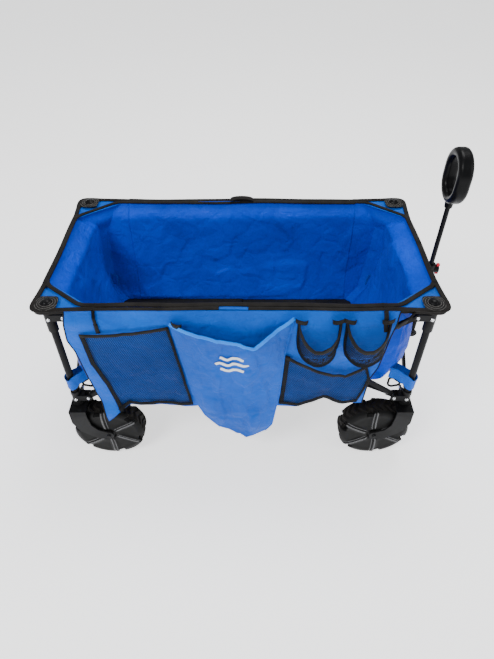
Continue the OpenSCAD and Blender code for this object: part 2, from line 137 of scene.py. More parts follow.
class Nodes:
    """Short ways to add shader nodes to one material."""

    def __init__(self, name):
        self.mat = bpy.data.materials.new(name)
        self.mat.use_nodes = True
        self.tree = self.mat.node_tree
        self.bsdf = self.tree.nodes["Principled BSDF"]

    def add(self, kind, inputs=(), **values):
        """A new node with its properties set, and inputs as pairs of socket and value or link."""
        node = self.tree.nodes.new(kind)
        for key, value in values.items():
            setattr(node, key, value)
        for socket, value in inputs:
            self.put(node, socket, value)
        return node

    def put(self, node, socket, value):
        if isinstance(value, bpy.types.NodeSocket):
            self.tree.links.new(value, node.inputs[socket])
        else:
            node.inputs[socket].default_value = value

    def coords(self, kind="Object"):
        source = self.add("ShaderNodeTexCoord").outputs[kind]
        return self.add("ShaderNodeMapping", [("Vector", source)]).outputs["Vector"]

    def axes(self, kind="UV"):
        """The coordinates one by one. UV is in metres on every modelled piece."""
        return self.add("ShaderNodeSeparateXYZ", [(0, self.coords(kind))]).outputs

    def noise(self, scale, detail=3.0, rough=0.55, distortion=0.0):
        inputs = [("Vector", self.coords()), ("Scale", scale), ("Detail", detail), ("Roughness", rough),
                  ("Distortion", distortion)]
        return self.add("ShaderNodeTexNoise", inputs).outputs["Fac"]

    def math(self, operation, a, b=0.0):
        return self.add("ShaderNodeMath", [(0, a), (1, b)], operation=operation).outputs[0]

    def times(self, a, b):
        return self.math("MULTIPLY", a, b)

    def wave(self, value, pitch, shape="SINE"):
        return self.math(shape, self.times(value, 2 * math.pi / pitch))

    def ramp(self, fac, *stops):
        node = self.add("ShaderNodeValToRGB", [("Fac", fac)])
        ramp = node.color_ramp
        while len(ramp.elements) < len(stops):
            ramp.elements.new(0.5)
        for element, (place, colour) in zip(ramp.elements, stops):
            element.position = place
            element.color = (*colour, 1)
        return node.outputs["Color"]

    def grey(self, fac, low, high, at_low=0.0, at_high=1.0):
        return self.add("ShaderNodeMapRange", [("Value", fac), ("From Min", at_low), ("From Max", at_high),
                                               ("To Min", low), ("To Max", high)]).outputs[0]

    def mix(self, fac, a, b):
        return self.add("ShaderNodeMix", [(0, fac), (6, a), (7, (*b, 1))], data_type="RGBA").outputs[2]

    def bump(self, height, strength, distance, under=None):
        inputs = [("Height", height), ("Strength", strength), ("Distance", distance)]
        if under is not None:
            inputs.append(("Normal", under))
        return self.add("ShaderNodeBump", inputs).outputs["Normal"]

    def edge_wear(self, amount):
        """Bright where the surface turns sharply outward, for worn edges."""
        pointy = self.add("ShaderNodeNewGeometry").outputs["Pointiness"]
        return self.grey(pointy, 0.0, amount, 0.505, 0.56)

    def finish(self, colour, rough, normal, **fixed):
        for socket, value in (("Base Color", colour), ("Roughness", rough), ("Normal", normal)):
            self.put(self.bsdf, socket, value)
        for socket, value in fixed.items():
            self.bsdf.inputs[socket.replace("_", " ")].default_value = value
        return self.mat


def weave_height(n, pitch=0.0016):
    """Plain weave as a height: threads over and under along the object's own axes."""
    x, y, z = n.axes("Object")
    return n.times(n.wave(n.math("ADD", x, y), pitch), n.wave(z, pitch))


def polyester(name, deep, main, light, rough=0.46):
    """Coated woven polyester: fine weave, soft creases, crisp folds, shade changes and a low sheen."""
    n = Nodes(name)
    broad = n.noise(5.0, 4.0, 0.6, distortion=0.4)
    fine = n.noise(160.0, 2.0)
    shade = n.ramp(n.math("ADD", n.times(broad, 0.85), n.times(fine, 0.15)),
                   (0.30, deep), (0.52, main), (0.78, light))
    wander = n.add("ShaderNodeTexNoise", noise_dimensions="3D").outputs["Color"]
    turned = n.add("ShaderNodeVectorMath", [(0, wander), (1, (0.05, 0.05, 0.05)), (2, n.coords())],
                   operation="MULTIPLY_ADD").outputs[0]
    cells = n.add("ShaderNodeTexVoronoi", feature="DISTANCE_TO_EDGE")
    n.put(cells, "Scale", 13.0)
    n.put(cells, "Vector", turned)
    folds = n.grey(cells.outputs["Distance"], 0.0, 1.0, 0.0, 0.16)
    soft = n.bump(n.noise(26.0, 6.0, 0.62, distortion=1.2), 0.65, 0.006)
    normal = n.bump(weave_height(n), 0.22, 0.0004, n.bump(folds, 0.40, 0.0035, soft))
    return n.finish(shade, n.grey(n.noise(38.0), rough - 0.07, rough + 0.1), normal, Sheen_Weight=0.02,
                    Sheen_Roughness=0.4, Specular_IOR_Level=0.12)


def tape(name, colour, light):
    """Ribbed binding tape: fine cross ribs and a row of stitches along each edge, placed by UV in metres."""
    n = Nodes(name)
    length, across, _ = n.axes()
    from_row = n.math("ABSOLUTE", n.math("SUBTRACT", n.math("ABSOLUTE", across), 0.68))
    dash = n.math("GREATER_THAN", n.wave(length, 0.0042), -0.25)
    stitch = n.times(n.math("LESS_THAN", from_row, 0.07), dash)
    worn = n.ramp(n.noise(30.0, 4.0), (0.35, colour), (0.75, light))
    normal = n.bump(stitch, 0.6, 0.0008, n.bump(n.wave(length, 0.0014), 0.35, 0.0004))
    return n.finish(n.mix(stitch, worn, light), n.grey(n.noise(60.0), 0.62, 0.82), normal, Sheen_Weight=0.03,
                    Specular_IOR_Level=0.14)


def mesh_cloth(name, hole, open_share, colour=(0.003, 0.005, 0.011)):
    """Knitted mesh: round holes in staggered rows that show what is behind, by UV in metres."""
    n = Nodes(name)
    u, v, _ = n.axes()
    slant = n.times(v, 0.577)
    ways = [n.wave(n.math(sign, u, slant), hole, "COSINE") for sign in ("ADD", "SUBTRACT")]
    field = n.math("ADD", n.math("ADD", *ways), n.wave(v, hole / 1.155, "COSINE"))
    shade = n.ramp(n.noise(14.0, 4.0), (0.3, colour), (0.8, tuple(2.2 * x for x in colour)))
    n.put(n.bsdf, "Alpha", n.math("LESS_THAN", field, 3.0 - 4.5 * open_share))
    return n.finish(shade, n.grey(n.noise(50.0), 0.55, 0.75), n.bump(field, 0.5, 0.0006),
                    Specular_IOR_Level=0.12)


def moulded(name, colour, rough, grain=420.0, grain_depth=0.00025, spots=0.5, painted_groove_lines=False):
    """Moulded plastic: fine spark grain, scuffs and paler worn edges. With painted groove lines on, it also
    gets painted highlights: pale lines where its mesh says so."""
    n = Nodes(name)
    dust = n.ramp(n.noise(9.0, 5.0, 0.65), (0.42, colour), (0.80, tuple(2.0 * c + 0.002 for c in colour)))
    shade = n.mix(n.edge_wear(0.3), dust, tuple(c + 0.024 for c in colour))
    if painted_groove_lines:
        # Painted highlights: pale lines beside the wheel's grooves, read from the mesh
        lines = n.add("ShaderNodeAttribute", attribute_name="painted_groove_highlight").outputs["Fac"]
        shade = n.mix(n.times(lines, 0.8), shade, (0.30, 0.30, 0.31))
    scuff = n.times(n.noise(70.0, 6.0, 0.7, distortion=1.0), spots)
    normal = n.bump(n.noise(grain, 2.0), 0.25, grain_depth, n.bump(n.noise(22.0), 0.08, 0.002))
    return n.finish(shade, n.grey(scuff, rough - 0.08, rough + 0.16, 0.1, 0.45), normal,
                    Specular_IOR_Level=0.09)


def powder_coat(name, colour, rough=0.36):
    """Satin powder coat: orange-peel ripple, slightly paler where it turns sharply."""
    n = Nodes(name)
    coat = n.ramp(n.noise(12.0, 4.0), (0.35, colour), (0.8, tuple(c + 0.004 for c in colour)))
    return n.finish(n.mix(n.edge_wear(0.5), coat, (0.014, 0.014, 0.016)),
                    n.grey(n.noise(55.0, 4.0), rough - 0.07, rough + 0.12),
                    n.bump(n.noise(240.0, 2.0, 0.5), 0.14, 0.0006),
                    Coat_Weight=0.01, Coat_Roughness=0.25, Specular_IOR_Level=0.07)


def bright_steel(name):
    n = Nodes(name)
    shade = n.ramp(n.noise(90.0), (0.3, (0.55, 0.56, 0.58)), (0.8, (0.86, 0.87, 0.88)))
    return n.finish(shade, n.grey(n.noise(140.0), 0.18, 0.36), n.bump(n.noise(300.0), 0.1, 0.0003),
                    Metallic=1.0)


def vinyl(name, colour):
    """Black vinyl patch with pressed rings of stitching that follow its outline, by UV."""
    n = Nodes(name)
    ring, along, _ = n.axes()
    groove = n.wave(ring, 0.0058)
    dash = n.math("GREATER_THAN", n.wave(along, 0.0034), -0.4)
    stitch = n.times(n.math("GREATER_THAN", groove, 0.86), dash)
    hide = n.ramp(n.noise(45.0, 4.0), (0.3, colour), (0.8, tuple(c + 0.008 for c in colour)))
    pressed = n.bump(groove, 0.5, 0.0012, n.bump(n.noise(260.0), 0.2, 0.0004))
    return n.finish(n.mix(stitch, hide, (0.20, 0.19, 0.18)), n.grey(n.noise(80.0), 0.4, 0.6),
                    n.bump(stitch, 0.5, 0.0007, pressed), Specular_IOR_Level=0.18)


def print_ink(name):
    """Pale screen print that lets a little of the weave show."""
    n = Nodes(name)
    shade = n.ramp(n.noise(60.0, 4.0), (0.25, (0.74, 0.77, 0.80)), (0.6, (0.88, 0.89, 0.90)))
    return n.finish(shade, n.grey(n.noise(90.0), 0.45, 0.6), n.bump(weave_height(n), 0.2, 0.0004))


def paper():
    n = Nodes("studio_paper")
    shade = n.ramp(n.noise(0.8, 2.0), (0.2, (0.90, 0.90, 0.90)), (0.8, (0.93, 0.93, 0.93)))
    return n.finish(shade, n.grey(n.noise(3.0), 0.85, 0.95), n.bump(n.noise(90.0), 0.03, 0.001),
                    Emission_Color=(1, 1, 1, 1), Emission_Strength=1.25)


MATS = {
    "tub": polyester("blue_polyester_inside", (0.0, 0.039, 0.46), (0.0, 0.057, 0.62), (0.0, 0.085, 0.80)),
    "panel": polyester("blue_polyester_outside", (0.0, 0.074, 0.44), (0.0, 0.102, 0.58), (0.0, 0.136, 0.74)),
    "pocket": polyester("blue_polyester_pocket", (0.0, 0.060, 0.36), (0.0, 0.084, 0.48), (0.0, 0.112, 0.60)),
    "floor": polyester("black_polyester", (0.008, 0.008, 0.009), (0.016, 0.016, 0.017), (0.03, 0.03, 0.031),
                       0.6),
    "tape": tape("black_binding_tape", (0.0055, 0.0045, 0.0040), (0.018, 0.016, 0.0145)),
    "mesh": mesh_cloth("black_mesh", 0.0046, 0.76),
    "cup_mesh": mesh_cloth("cup_mesh", 0.0040, 0.58),
    "mesh_edge": mesh_cloth("mesh_border", 0.0046, 0.14, (0.0035, 0.004, 0.006)),
    "panel_seam": tape("blue_seam", (0.0, 0.19, 0.86), (0.0, 0.26, 0.98)),
    "print": print_ink("pale_print"),
    "vinyl": vinyl("black_vinyl", (0.0075, 0.0070, 0.0066)),
    "cap": moulded("cap_plastic", (0.004, 0.004, 0.0045), 0.22, 200.0, 0.0001),
    "bracket": moulded("bracket_nylon", (0.0045, 0.0045, 0.005), 0.42),
    "fork": moulded("fork_nylon", (0.0045, 0.0045, 0.005), 0.38, 380.0),
    # The wheel's plastic gets painted highlight lines beside its grooves
    "wheel": moulded("wheel_plastic", (0.0025, 0.0025, 0.0025), 0.42, 300.0, painted_groove_lines=True),
    "tread": moulded("tread_plastic", (0.0085, 0.0075, 0.0065), 0.62, 260.0),
    "tube": powder_coat("black_powder_coat", (0.0010, 0.0010, 0.0013)),
    "pole": powder_coat("pole_coat", (0.003, 0.003, 0.0035), 0.34),
    "grip": moulded("grip_plastic", (0.004, 0.004, 0.0045), 0.34, 150.0, 0.0001, 0.3),
    "steel": bright_steel("bright_rivet"),
    "button": moulded("red_button", (0.62, 0.012, 0.035), 0.3, 200.0, 0.0001),
}


# ---------------------------------------------------------------- mesh helpers

def add_mesh(name, points, faces, mats, uvs=None, face_mats=None):
    """A new mesh object. uvs is one (u, v) for each point, and mats one key of MATS or several."""
    mesh = bpy.data.meshes.new(name)
    mesh.from_pydata([tuple(map(float, p)) for p in points], [], faces)
    keys = [mats] if isinstance(mats, str) else list(mats)
    for key in keys:
        mesh.materials.append(MATS[key])
    if face_mats is not None:
        mesh.polygons.foreach_set("material_index", face_mats)
    if uvs is not None:
        layer = mesh.uv_layers.new(name="metres")
        loop_points = np.zeros(len(mesh.loops), np.int32)
        mesh.loops.foreach_get("vertex_index", loop_points)
        layer.data.foreach_set("uv", np.asarray(uvs, np.float32)[loop_points].ravel())
    mesh.polygons.foreach_set("use_smooth", [True] * len(mesh.polygons))
    mesh.validate()
    mesh.update()
    obj = bpy.data.objects.new(name, mesh)
    bpy.context.scene.collection.objects.link(obj)
    return obj


def grid_faces(rows, cols, closed_cols=False):
    faces = []
    for i in range(rows - 1):
        for j in range(cols if closed_cols else cols - 1):
            here, above, beside = i * cols, (i + 1) * cols, (j + 1) % cols
            faces.append((here + j, here + beside, above + beside, above + j))
    return faces


def apply_modifiers(obj):
    """Bakes the object's modifiers into its mesh."""
    graph = bpy.context.evaluated_depsgraph_get()
    mesh = bpy.data.meshes.new_from_object(obj.evaluated_get(graph))
    obj.modifiers.clear()
    obj.data = mesh
    return obj


def thicken(obj, thickness, offset=0.0):
    solid = obj.modifiers.new("thickness", "SOLIDIFY")
    solid.thickness = thickness
    solid.offset = offset
    return apply_modifiers(obj)


def cell_random(i, j, seed, which):
    """A repeatable value from 0 to 1 for each cell, the same whichever piece asks for it."""
    value = np.sin(i * 127.1 + j * 311.7 + seed * 74.7 + which * 53.3) * 43758.5453
    return value - np.floor(value)


def facet_noise(p, seed, cell, stretch=(1.0, 1.0), sharp=5.0, tilt=1.0):
    """Creased cloth as a height over flat points: random flat facets that meet in soft-edged folds.
    p is (N, 2) in metres. The result is about -1 to 1."""
    q = p * np.asarray(stretch) / cell
    base = np.floor(q)
    total = np.zeros(len(q))
    weight = np.zeros(len(q))
    for dx in (-1, 0, 1):
        for dy in (-1, 0, 1):
            i, j = base[:, 0] + dx, base[:, 1] + dy
            away = q - np.stack([i + 0.08 + 0.84 * cell_random(i, j, seed, 1),
                                 j + 0.08 + 0.84 * cell_random(i, j, seed, 2)], 1)
            w = np.exp(-sharp * (away ** 2).sum(1) * 2.2)
            lean = tilt * 1.9 * ((cell_random(i, j, seed, 3) - 0.5) * away[:, 0]
                                 + (cell_random(i, j, seed, 4) - 0.5) * away[:, 1])
            total += w * (2 * cell_random(i, j, seed, 5) - 1 + lean)
            weight += w
    return total / np.maximum(weight, 1e-9)


def creases(p, seed, amp=0.006, cell=0.13, stretch=(1.0, 1.0)):
    """Large folds, crisp creases and small puckers, in metres."""
    big = facet_noise(p, seed, cell * 1.9, stretch, 2.2)
    crisp = facet_noise(p, seed + 1, cell, stretch, 7.0)
    small = facet_noise(p, seed + 2, cell * 0.42, stretch, 6.0)
    return amp * (0.8 * big + 0.62 * crisp + 0.26 * small)


def unit_grid(rows, cols):
    """Places u and v from 0 to 1 over a grid, row by row."""
    u, v = np.meshgrid(np.linspace(0, 1, cols), np.linspace(0, 1, rows))
    return u.ravel(), v.ravel()


def run_along(path):
    """Length along a path at each of its points."""
    return np.concatenate([[0], np.cumsum(np.linalg.norm(np.diff(path, axis=0), axis=1))])


def smooth_step(x):
    x = np.clip(x, 0, 1)
    return x * x * (3 - 2 * x)


def unit(vectors):
    return vectors / np.linalg.norm(vectors, axis=1)[:, None]


def as_points(path):
    return np.asarray([tuple(p) for p in path], float)


def sweep(name, path, side, up, section, mat, spread):
    """A solid along path with a closed section of (side, up) in metres. UV is the length in metres and the
    place across times spread."""
    section = np.asarray(section)
    around = len(section)
    points = path[:, None] + side[:, None] * section[:, :1] + up[:, None] * section[:, 1:]
    uvs = np.stack([np.repeat(run_along(path), around), np.tile(section[:, 0] * spread, len(path))], 1)
    faces = grid_faces(len(path), around, closed_cols=True)
    last = (len(path) - 1) * around
    faces += [tuple(range(around))[::-1], tuple(last + k for k in range(around))]
    return add_mesh(name, points.reshape(-1, 3), faces, mat, uvs)


def ribbon(name, path, across, width, thick, mat="tape", crown=0.35):
    """A flat strap along path. across is the direction over its width at each point, and the strap's
    section is a flattened oval. UV is the length in metres and the place across from -1 to 1."""
    path, across = as_points(path), as_points(across)
    tangent = unit(np.gradient(path, axis=0))
    across = unit(across - (across * tangent).sum(1)[:, None] * tangent)
    section = np.array([(-1, 0), (-0.92, 0.7), (-0.5, 1), (0, 1 + crown), (0.5, 1), (0.92, 0.7), (1, 0),
                        (0.92, -0.7), (0.5, -1), (0, -1), (-0.5, -1), (-0.92, -0.7)])
    section = section * (width / 2, thick / 2)
    return sweep(name, path, across, np.cross(tangent, across), section, mat, 2 / width)


def bezier(points, count):
    """A smooth curve through the control polygon by de Casteljau's rule."""
    out = []
    for t in np.linspace(0, 1, count):
        p = [np.asarray(tuple(q), float) for q in points]
        while len(p) > 1:
            p = [(1 - t) * a + t * b for a, b in zip(p, p[1:])]
        out.append(p[0])
    return np.array(out)


def resample(path, step):
    path = as_points(path)
    length = run_along(path)
    where = np.linspace(0, length[-1], max(3, int(round(length[-1] / step)) + 1))
    return np.stack([np.interp(where, length, path[:, k]) for k in range(3)], 1)


def quad_area(points, rows, cols):
    """Flat area of a grid of points, in square metres."""
    g = np.asarray(points, float).reshape(rows, cols, 3)
    d1 = g[1:, 1:] - g[:-1, :-1]
    d2 = g[1:, :-1] - g[:-1, 1:]
    return float(np.linalg.norm(np.cross(d1, d2), axis=2).sum() / 2)


# ---------------------------------------------------------------- tub

SEAM_X = 0.350          # the long walls crumple between these, and the corners outside them stay stiff
SEAM_Y = 0.159
RIM = {"y": 0.240, "x": 0.489, "chamfer": 0.385}
FLARE_Z = 0.562
CORNER_RUN = 0.035 + math.hypot(RIM["x"] - RIM["chamfer"], RIM["y"] - SEAM_Y)
AROUND = {"near": 0.0, "fr": 0.70, "front": 0.70 + CORNER_RUN}
AROUND["fl"] = AROUND["front"] + 2 * SEAM_Y
AROUND["far"] = AROUND["fl"] + CORNER_RUN
AROUND["rl"] = AROUND["far"] + 0.70
AROUND["rear"] = AROUND["rl"] + CORNER_RUN
AROUND["rr"] = AROUND["rear"] + 2 * SEAM_Y


def world(x, y, z):
    """Arrays in middle metres to points in the frame."""
    x, y, z = np.broadcast_arrays(np.asarray(x, float), y, z)
    return np.stack([x + MID.x, y + MID.y, z], -1)


def wall_height(v):
    return FLOOR_Z + 0.001 + (RIM_Z + 0.001 - FLOOR_Z) * v


def wall_reach(v, low, mid, high):
    """Half width of the tub: a lean from the floor to below the brackets, then out over the frame."""
    z = wall_height(v)
    rise = np.clip((z - FLOOR_Z) / (FLARE_Z - FLOOR_Z), 0, 1)
    lean = low + (mid - low) * (1 - (1 - rise) ** 3.4)
    return lean + (high - mid) * smooth_step((z - FLARE_Z + 0.024) / (RIM_Z - FLARE_Z + 0.024))


def floor_end(sx):
    return 0.372 if sx > 0 else 0.405


def wall_y(v):
    return wall_reach(v, 0.190, 0.2255, RIM["y"])


def wall_x(v, sx):
    return wall_reach(v, floor_end(sx), 0.4515, RIM["x"])


def corner_path(u, v, sx, sy):
    """The corner's wall: a short stretch of long side, the corner itself, then the end side. It is a wide
    chamfer at the rim and a tighter one below."""
    heights = [0, 0.12, 0.80, 1.0]
    foot = floor_end(sx)
    turn_x = np.interp(v, heights, [foot - 0.016, foot + 0.006, 0.424, RIM["chamfer"]])
    turn_y = np.interp(v, heights, [0.176, 0.178, 0.198, SEAM_Y])
    across, along = wall_y(v), wall_x(v, sx)
    places = [0, 0.34, 0.70, 1.0]
    knots = [(SEAM_X + 0 * v, across), (turn_x, across), (along, turn_y), (along, SEAM_Y + 0 * v)]
    flat = np.zeros((len(v), 2))
    for k in range(3):
        start, end = np.stack(knots[k], -1), np.stack(knots[k + 1], -1)
        share = np.clip((u - places[k]) / (places[k + 1] - places[k]), 0, 1)[:, None]
        here = (u >= places[k]) & (u <= 1 if k == 2 else u < places[k + 1])
        flat = np.where(here[:, None], start + (end - start) * share, flat)
    # The loose corner bags outward above the floor
    bag = 0.030 * np.sin(math.pi * u) * smooth_step(v / 0.12) * smooth_step((0.85 - v) / 0.6)
    flat = flat + bag[:, None] * np.array([0.80, 0.60])
    return world(sx * flat[:, 0], sy * flat[:, 1], wall_height(v))


def tub_piece(name, surface, rows, cols, run, start, backwards, outward, amp, seed=11):
    """One panel of the tub wall. Panels share one crease field by distance round the rim, so their
    creases meet at the seams."""
    u, v = unit_grid(rows, cols)
    base = surface(u, v)
    tall = math.hypot(RIM_Z - FLOOR_Z, 0.05)
    along = start + run * (1 - u if backwards else u)
    field = creases(np.stack([along, v * tall], 1), seed, amp, 0.115, (1.0, 0.8))
    calm = smooth_step(v / 0.06) * smooth_step((1 - v) / 0.10)
    direction = outward(u)
    lift = np.minimum(field - 0.9 * amp, 0.15 * amp) * calm
    points = base + lift[:, None] * direction
    obj = add_mesh(name, points, grid_faces(rows, cols), "tub", np.stack([u * run, v * tall], 1))
    thicken(obj, 0.0012)
    return obj


def make_tub():
    pieces = []

    def long_wall(u, v, sy):
        # The far rim bows outward in the middle, and its wall follows
        bow = 0.0075 * np.sin(math.pi * u) * smooth_step((v - 0.85) / 0.15) * (sy > 0)
        return world(SEAM_X * (2 * u - 1), sy * (wall_y(v) + bow), wall_height(v) + 0.6 * bow)

    for sy, name, body in ((-1, "near", "upper_rr"), (1, "far", "upper_rl")):
        wall = tub_piece("tub_wall_" + name, lambda u, v, sy=sy: long_wall(u, v, sy),
                         88, 180, 2 * SEAM_X, AROUND[name], sy > 0,
                         lambda u, sy=sy: np.array([0.0, sy, 0.0]), 0.0085)
        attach(wall, body)
        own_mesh(wall)
        pieces.append(wall)
    for sx, name, body in ((1, "front", "upper_fr"), (-1, "rear", "upper_rr")):
        wall = tub_piece("tub_wall_" + name,
                         lambda u, v, sx=sx: world(sx * wall_x(v, sx), SEAM_Y * (2 * u - 1), wall_height(v)),
                         88, 84, 2 * SEAM_Y, AROUND[name], sx < 0,
                         lambda u, sx=sx: np.array([sx, 0.0, 0.0]), 0.007)
        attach(wall, body)
        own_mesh(wall)
        pieces.append(wall)
    for corner, (sx, sy) in CORNERS.items():
        def outward(u, sx=sx, sy=sy):
            a = math.pi / 2 * smooth_step((u - 0.2) / 0.6)
            return np.stack([sx * np.sin(a), sy * np.cos(a), np.zeros_like(u)], -1)
        wall = tub_piece("tub_corner_" + corner,
                         lambda u, v, sx=sx, sy=sy: corner_path(u, v, sx, sy),
                         88, 60, CORNER_RUN, AROUND[corner], corner in ("rr", "fl"), outward, 0.007)
        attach(wall, "upper_" + corner)
        pieces.append(wall)
    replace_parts(pieces[0], "tub_walls")


def make_floor():
    """Four leaves of the floor, each on its own floor bar."""
    first = None
    for corner, (sx, sy) in CORNERS.items():
        rows = cols = 40
        u, v = unit_grid(rows, cols)
        reach_x = floor_end(sx) + 0.002
        # Slightly rounded outer corner
        pull = 0.003 * np.clip((u - 0.93) / 0.07, 0, 1) * np.clip((v - 0.86) / 0.14, 0, 1)
        x = sx * (reach_x * u - pull)
        y = sy * (0.192 * v - pull)
        calm = smooth_step(np.minimum(u, v) / 0.05) * smooth_step((1 - np.maximum(u, v)) / 0.06)
        z = FLOOR_Z + 0.0015 + creases(np.stack([x, y], 1) + 3.0, 71, 0.0022, 0.09) * calm
        leaf = add_mesh("floor_leaf_" + corner, world(x, y, z), grid_faces(rows, cols), "floor",
                        np.stack([x, y], 1))
        thicken(leaf, 0.003, -1.0)
        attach(leaf, "floor_" + corner)
        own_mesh(leaf)
        first = first or leaf
    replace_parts(first, "tub_floor")


def make_corners():
    """The webs over the corner posts with their bindings, patches and hems."""
    # Outlines by distance along and across from the middle: the web's outer edge, and the binding on it
    tip = [(0.470, 0.266, 0), (0.500, 0.267, 0), (0.503, 0.262, 0), (0.501, 0.232, 0)]
    outline = [(0.372, 0.249, 0), (0.40, 0.262, 0), *bezier(tip, 9), (0.4975, 0.19, 0), (0.4935, 0.148, 0)]
    bend = [(0.440, 0.262, 0), (0.5085, 0.272, 0), (0.5045, 0.262, 0), (0.498, 0.205, 0)]
    rim_edge = [(SEAM_X - 0.004, 0.2575), (0.40, 0.260), *[p[:2] for p in bezier(bend, 14)], (0.4955, 0.17),
                (0.4945, 0.150)]
    chamfer = [(SEAM_X - 0.004, 0.2445), (RIM["chamfer"] - 0.004, 0.2445), (RIM["chamfer"] + 0.012, 0.238),
               (RIM["x"] - 0.008, SEAM_Y + 0.012), (RIM["x"] + 0.002, SEAM_Y - 0.004),
               (RIM["x"] + 0.002, SEAM_Y - 0.010)]
    outer = resample(outline, 0.006)[:, :2]
    count, rows = len(outer), 14
    inner = np.stack([np.linspace(RIM["chamfer"] - 0.013, RIM["x"] + 0.002, count),
                      np.linspace(RIM["y"] + 0.002, SEAM_Y - 0.006, count)], 1)
    for corner, (sx, sy) in CORNERS.items():
        body = "upper_" + corner
        points = []
        for w in np.linspace(0, 1, rows):
            sag = math.sin(math.pi * w)
            for x, y in inner * (1 - w) + outer * w:
                wrinkle = 0.0012 * math.sin(90 * x + 60 * y)
                points.append(at(sx * x, sy * y, RIM_Z + 0.002 + (wrinkle - 0.004) * sag))
        web = add_mesh("corner_web_" + corner, points, grid_faces(rows, count), "panel",
                       [(p[0], p[1]) for p in points])
        thicken(web, 0.0012)
        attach(web, body)
        cut = resample([at(sx * x, sy * y, RIM_Z + 0.004) for x, y in chamfer], 0.006)
        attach(ribbon("chamfer_binding_" + corner, cut, [Vector((sx * 0.6, sy * 0.8, 0))], 0.0125, 0.0036),
                body)
        edge = resample([at(sx * x, sy * y, RIM_Z + 0.0035) for x, y in rim_edge], 0.006)
        across = np.cross(np.gradient(edge, axis=0), (0, 0, 1.0))
        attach(ribbon("edge_binding_" + corner, edge, across, 0.0130, 0.0045), body)
        make_patch(corner, sx, sy, body)
        make_hem("hem_" + corner, edge, body)


def make_hem(name, edge, body, drop=0.012):
    """The short skirt that hangs from the outer binding over the top of the frame."""
    points, uvs = [], []
    centre = np.array([MID.x, MID.y, 0])
    length = run_along(edge)
    rows = 8
    for w in np.linspace(0, 1, rows):
        for p, s in zip(edge, length):
            out = 1 + 0.0025 * math.sin(140 * s + 2 * w) * w
            q = centre + (p - centre) * (out, out, 1)
            points.append((q[0], q[1], p[2] - 0.001 - drop * w))
            uvs.append((s, w * drop))
    hem = add_mesh(name, points, grid_faces(rows, len(edge)), "tape", uvs)
    thicken(hem, 0.0012)
    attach(hem, body)
    return hem


def make_patch(corner, sx, sy, body):
    """Vinyl patch over the bracket's dome, with rings of stitching parallel to its edge, and the dome."""
    low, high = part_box("upper_bracket_" + corner)
    half, hole, square, rings, around = 0.0265, 0.010, 4.5, 14, 64
    cx, cy = sx * (POST_X - 0.001), sy * (POST_Y - 0.004)
    points, uvs = [], []
    for w in np.linspace(0, 1, rings):
        for a in np.linspace(0, 2 * math.pi, around, endpoint=False):
            c, s = math.cos(a), math.sin(a)
            edge = half / (abs(c) ** square + abs(s) ** square) ** (1 / square)
            q = hole + (edge - hole) * w
            points.append(at(cx + sx * q * c, cy + sy * q * s, RIM_Z + 0.0055 + 0.0035 * (1 - w) ** 1.5))
            uvs.append((q - 0.0026, a * q))
    faces = grid_faces(rings, around, closed_cols=True)
    patch = add_mesh("corner_patch_" + corner, points, faces, "vinyl", uvs)
    thicken(patch, 0.0018)
    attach(patch, body)
    profile = [(0.0, 0.0078), (0.004, 0.0075), (0.008, 0.0060), (0.0102, 0.0042), (0.0112, 0.0030),
               (0.0128, 0.0028), (0.0140, 0.0020), (0.0146, 0.0), (0.0146, -0.006)]
    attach(revolve("corner_cap_" + corner, profile, at(cx, cy, RIM_Z + 0.0085), "cap", 40), body)


def revolve(name, profile, centre, mat, around):
    """A turned piece about a vertical line. profile is (radius, height) from the top centre outward."""
    angles = np.linspace(0, 2 * math.pi, around, endpoint=False)
    points = [centre + Vector((r * math.cos(a), r * math.sin(a), z)) for r, z in profile for a in angles]
    return add_mesh(name, points, grid_faces(len(profile), around, closed_cols=True), mat)


def make_rims():
    """The bindings along the sides: two parallel bands on each long side, one on each end, with hems."""
    for sy, side, body in ((-1, "near", "upper_rr"), (1, "far", "upper_rl")):
        xs = np.linspace(-SEAM_X, SEAM_X, 90)
        wave = 0.0016 * np.sin(11 * xs + sy) + 0.0009 * np.sin(29 * xs)
        inner = world(xs, sy * (0.2448 + wave), RIM_Z + 0.0042 + 0.0012 * np.sin(17 * xs))
        outer = world(xs, sy * (0.2578 + wave), RIM_Z + 0.0036 + 0.0010 * np.sin(13 * xs + 1))
        parts = [ribbon(f"rim_inner_{side}", inner, ACROSS, 0.0146, 0.0040)]
        if side == "near":
            # The outer band is open over the middle, where the panel's cloth shows
            tilt = [(0, 1, -0.25)]
            gap = (xs > -0.058) & (xs < 0.026)
            parts.append(ribbon("rim_outer_near_1", outer[xs < -0.050], tilt, 0.0130, 0.0044))
            parts.append(ribbon("rim_outer_near_2", outer[xs > 0.017], tilt, 0.0130, 0.0044))
            parts.append(ribbon("rim_gap_near", outer[gap] - [0, 0, 0.0006], tilt, 0.0122, 0.0036, "panel"))
        else:
            parts.append(ribbon("rim_outer_far", outer, [Vector((0, 1, 0.2))], 0.0130, 0.0044))
        hem = make_hem("hem_" + side, outer[::3], body)
        for piece in parts:
            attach(piece, body)
        for piece in parts + [hem]:
            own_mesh(piece)
    for sx, side, body in ((1, "front", "upper_fr"), (-1, "rear", "upper_rr")):
        ys = np.linspace(-SEAM_Y, SEAM_Y, 44)
        wave = 0.0010 * np.sin(23 * ys + sx)
        edge = world(sx * (0.4935 + wave), ys, RIM_Z + 0.0040)
        band = ribbon(f"rim_{side}", edge, ALONG, 0.0150, 0.0048)
        hem = make_hem("hem_" + side, edge[::2], body)
        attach(band, body)
        for piece in (band, hem):
            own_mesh(piece)
    # Carrying strap folded over the middle of the far rim
    xs = np.linspace(-0.034, 0.035, 22)
    arch = world(xs, 0.2505 + 0 * xs, RIM_Z + 0.007 + 0.010 * np.sqrt(np.clip(1 - (xs / 0.036) ** 2, 0, 1)))
    strap = ribbon("far_strap", arch, ACROSS, 0.022, 0.0030)
    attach(strap, "upper_rl")
    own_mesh(strap)


# ---------------------------------------------------------------- wheels

